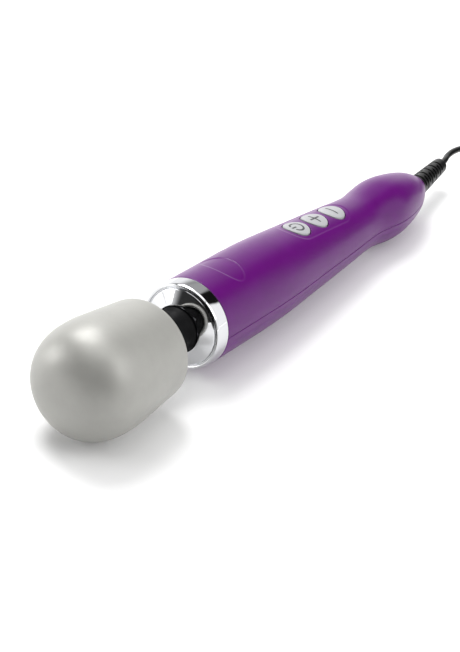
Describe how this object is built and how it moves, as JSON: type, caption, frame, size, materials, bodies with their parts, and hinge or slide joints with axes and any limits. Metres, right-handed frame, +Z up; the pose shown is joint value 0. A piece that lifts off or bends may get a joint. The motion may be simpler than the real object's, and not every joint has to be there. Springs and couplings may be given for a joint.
{
  "type": "corded wand massager",
  "caption": "Corded handheld wand massager: soft round head on a flexible neck, chrome collar, waisted handle with round push buttons and a ribbed cord relief.",
  "frame": {"origin": "bottom centre of the bounding box of the wand without its free cord, coil and plug; Z = 0 is the surface it lies on", "axes": "+Y along the handle from the head towards the cord, +Z up on the button side; the wand's centreline slopes down 2.38 degrees towards the cord because the head is wider than the tail bulge"},
  "size_m": [0.0677, 0.5745, 0.0603],
  "materials": {
    "silver_silicone": "satin pearl",
    "black_plastic": "matte",
    "screw_steel": "satin",
    "bearing_steel": "polished",
    "shaft_steel": "satin",
    "weight_steel": "matte",
    "brass": "satin",
    "black_rubber": "satin",
    "chrome": "mirror",
    "purple_plastic": "satin soft touch",
    "grey_button": "satin",
    "dark_ink": "matte",
    "magnet_iron": "matte",
    "carbon": "matte",
    "copper": "satin",
    "board_green": "satin",
    "capacitor_black": "satin",
    "terminal_white": "satin",
    "wire_red": "satin",
    "cord_black": "satin",
    "tie_black": "matte"
  },
  "bodies": {
    "handle": {"neck_socket": "black_plastic", "collar_ring": "chrome", "shell_top": "purple_plastic", "shell_bottom": "purple_plastic", "shell_screws": "screw_steel", "cord_clamp": "black_plastic", "clamp_screws": "screw_steel", "motor_can": "shaft_steel", "motor_bush_front": "brass", "motor_bush_rear": "brass", "motor_magnets": "magnet_iron", "motor_brushes": "carbon", "motor_end_bell": "black_plastic", "motor_mount_front": "black_rubber", "motor_mount_rear": "black_rubber", "control_board": "board_green", "switch_bodies": "black_plastic", "board_capacitor": "capacitor_black", "driver_chip": "capacitor_black", "wire_terminal": "terminal_white", "motor_terminal": "terminal_white", "supply_wires": "wire_red", "motor_wires": "wire_red", "cord_lead": "cord_black", "strain_relief": "black_rubber", "supply_cord": "cord_black", "cord_tail": "cord_black", "cord_coil": "cord_black", "coil_tie": "tie_black", "plug_grip": "black_rubber", "plug_barrel": "chrome"},
    "rotor": {"motor_shaft": "shaft_steel", "armature_core": "weight_steel", "armature_windings": "copper", "commutator": "copper", "motor_coupling": "brass", "drive_spring": "shaft_steel"},
    "neck_mid": {"neck_boot": "black_rubber", "neck_ring": "shaft_steel"},
    "head": {"head_cover": "silver_silicone", "head_cup": "black_plastic", "head_bulkhead": "black_plastic", "bulkhead_screws": "screw_steel", "bearing_front": "bearing_steel", "bearing_rear": "bearing_steel"},
    "eccentric": {"eccentric_shaft": "shaft_steel", "eccentric_weight": "weight_steel", "weight_screw": "screw_steel", "head_coupling": "brass"},
    "power_key": {"power_button": "grey_button", "power_symbol": "dark_ink", "power_plunger": "black_plastic"},
    "plus_key": {"plus_button": "grey_button", "plus_symbol": "dark_ink", "plus_plunger": "black_plastic"},
    "minus_key": {"minus_button": "grey_button", "minus_symbol": "dark_ink", "minus_plunger": "black_plastic"}
  },
  "joints": [
    {"name": "head_pitch", "type": "hinge", "parent": "handle", "child": "neck_mid", "pos_m": [0, -0.11146, 0.02797], "axis": [1, 0, 0], "range_deg": [-10, 10], "stiffness_Nm_per_rad": 4, "deforming": ["neck_boot", "drive_spring"]},
    {"name": "head_yaw", "type": "hinge", "parent": "neck_mid", "child": "head", "pos_m": [0, -0.11146, 0.02797], "axis": [0, 0.0415, 0.9991], "range_deg": [-10, 10], "stiffness_Nm_per_rad": 4, "deforming": ["neck_boot", "drive_spring"]},
    {"name": "rotor_spin", "type": "hinge", "parent": "handle", "child": "rotor", "pos_m": [0, -0.05401, 0.02558], "axis": [0, 0.9991, -0.0415], "continuous": true},
    {"name": "eccentric_spin", "type": "hinge", "parent": "head", "child": "eccentric", "pos_m": [0, -0.15492, 0.02977], "axis": [0, 0.9991, -0.0415], "continuous": true},
    {"name": "power_press", "type": "slide", "parent": "handle", "child": "power_key", "axis": [0, -0.0415, -0.9991], "range_m": [0, 0.0006], "stiffness_N_per_m": 2500, "springref_m": -0.0004},
    {"name": "plus_press", "type": "slide", "parent": "handle", "child": "plus_key", "axis": [0, -0.0415, -0.9991], "range_m": [0, 0.0006], "stiffness_N_per_m": 2500, "springref_m": -0.0004},
    {"name": "minus_press", "type": "slide", "parent": "handle", "child": "minus_key", "axis": [0, -0.0415, -0.9991], "range_m": [0, 0.0006], "stiffness_N_per_m": 2500, "springref_m": -0.0004}
  ],
  "couplings": [
    {"joint": "eccentric_spin", "follows": "rotor_spin", "ratio": 1}
  ]
}
